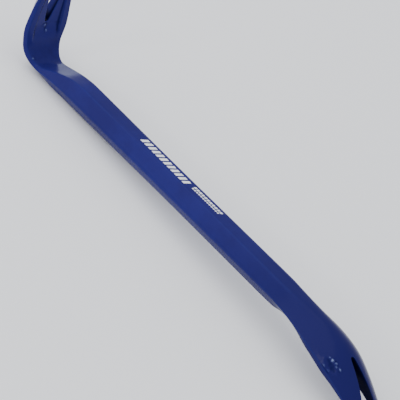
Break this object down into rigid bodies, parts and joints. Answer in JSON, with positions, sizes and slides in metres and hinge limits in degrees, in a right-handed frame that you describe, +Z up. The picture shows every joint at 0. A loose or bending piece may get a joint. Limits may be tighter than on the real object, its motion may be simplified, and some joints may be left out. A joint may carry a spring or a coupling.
{
  "type": "pry bar",
  "caption": "Forged hexagonal pry bar with a hooked, slotted nail claw at one end and a dipped, slotted claw at the other, in glossy blue enamel.",
  "frame": {"origin": "centre of the bounding box's underside: the bar stands on its heel and on its front claw tips", "axes": "+X along the bar from the hooked claw towards the front claw, +Y across the claws, +Z up, the way the hooked claw points; the straight shank leans 3.7 degrees in this stance"},
  "size_m": [0.3082, 0.0294, 0.0537],
  "materials": {
    "enamel": "glossy royal blue enamel over a forged steel surface",
    "print_ink": "thin satin white ink"
  },
  "bodies": {
    "root": {"forged_bar": "enamel", "printed_band": "print_ink", "printed_dashes_upper": "print_ink", "printed_dashes_lower": "print_ink"}
  },
  "joints": []
}
